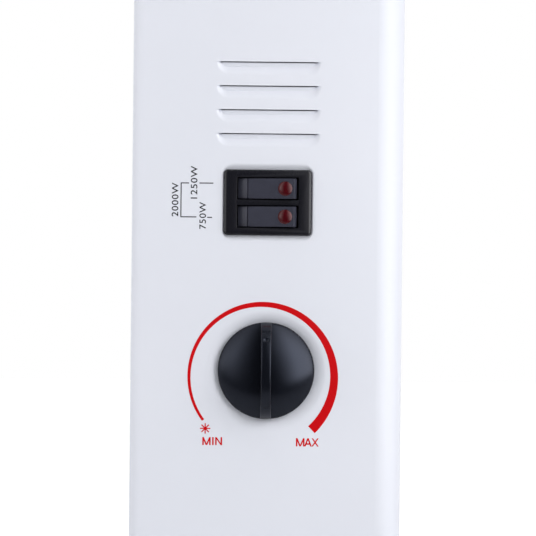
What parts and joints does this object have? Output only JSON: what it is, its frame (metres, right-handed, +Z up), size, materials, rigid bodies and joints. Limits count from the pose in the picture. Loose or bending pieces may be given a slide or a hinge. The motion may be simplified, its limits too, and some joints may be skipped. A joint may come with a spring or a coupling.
{
  "type": "convector heater",
  "caption": "Free-standing electric convector heater with pressed steel casing, end-mounted thermostat knob and twin lit rocker switch, on arched feet.",
  "frame": {"origin": "on the floor under the centre of the whole heater's box, feet and knob included", "axes": "+X along the casing away from the control end, +Y from the front to the rear, +Z up"},
  "size_m": [0.5353, 0.2, 0.385],
  "materials": {
    "painted_sheet": "smooth powder coat, semi-gloss",
    "galvanised_sheet": "galvanised, matt",
    "bare_aluminium": "mill finish",
    "rod_steel": "drawn stainless tube",
    "zinc_plate": "bright zinc plate",
    "contact_brass": "plain",
    "bush_ceramic": "unglazed steatite",
    "phenolic": "moulded phenolic",
    "gloss_black": "moulded, polished",
    "satin_black": "moulded, fine texture",
    "rocker_grey": "moulded, satin",
    "red_lens": "clear red, polished",
    "lamp_glass": "clear",
    "pad_rubber": "moulded",
    "brown_insulation": "silicone",
    "white_insulation": "woven glass sleeve",
    "blue_insulation": "silicone",
    "green_insulation": "silicone"
  },
  "bodies": {
    "heater": {"control_end_panel": "painted_sheet", "plain_end_panel": "painted_sheet", "front_panel": "painted_sheet", "rear_panel": "painted_sheet", "top_grille": "painted_sheet", "bottom_plate": "galvanised_sheet", "bulkhead": "galvanised_sheet", "element_bracket": "galvanised_sheet", "heat_deflector": "bare_aluminium", "fins_1250w": "bare_aluminium", "fins_750w": "bare_aluminium", "rod_1250w": "rod_steel", "rod_750w": "rod_steel", "element_bushes": "bush_ceramic", "element_terminals": "contact_brass", "thermal_cutout": "phenolic", "cutout_screws": "zinc_plate", "thermostat_plate": "zinc_plate", "thermostat_body": "phenolic", "thermostat_blade": "contact_brass", "thermostat_terminals": "contact_brass", "thermostat_screws": "zinc_plate", "switch_housing": "satin_black", "neon_lamps": "lamp_glass", "switch_terminals": "contact_brass", "terminal_block": "bush_ceramic", "terminal_screws": "contact_brass", "earth_screw": "contact_brass", "cable_gland": "satin_black", "gland_nut": "satin_black", "handle_control_end": "satin_black", "handle_plain_end": "satin_black", "foot_control_end": "satin_black", "foot_plain_end": "satin_black", "foot_pads": "pad_rubber", "foot_screws": "zinc_plate", "case_screws": "zinc_plate", "base_screws": "zinc_plate", "live_leads": "brown_insulation", "load_leads": "white_insulation", "neutral_leads": "blue_insulation", "earth_lead": "green_insulation"},
    "thermostat_dial": {"control_knob": "gloss_black", "knob_spring": "rod_steel", "thermostat_shaft": "zinc_plate"},
    "rocker_upper": {"rocker_1250w": "rocker_grey", "lens_1250w": "red_lens"},
    "rocker_lower": {"rocker_750w": "rocker_grey", "lens_750w": "red_lens"}
  },
  "joints": [
    {"name": "thermostat_turn", "type": "hinge", "parent": "heater", "child": "thermostat_dial", "pos_m": [-0.25395, 0, 0.15], "axis": [1, 0, 0], "range_deg": [-127, 136]},
    {"name": "rocker_1250w_press", "type": "hinge", "parent": "heater", "child": "rocker_upper", "pos_m": [-0.25195, 0, 0.2162], "axis": [0, 0, 1], "range_deg": [0, 16]},
    {"name": "rocker_750w_press", "type": "hinge", "parent": "heater", "child": "rocker_lower", "pos_m": [-0.25195, 0, 0.206], "axis": [0, 0, 1], "range_deg": [0, 16]}
  ]
}
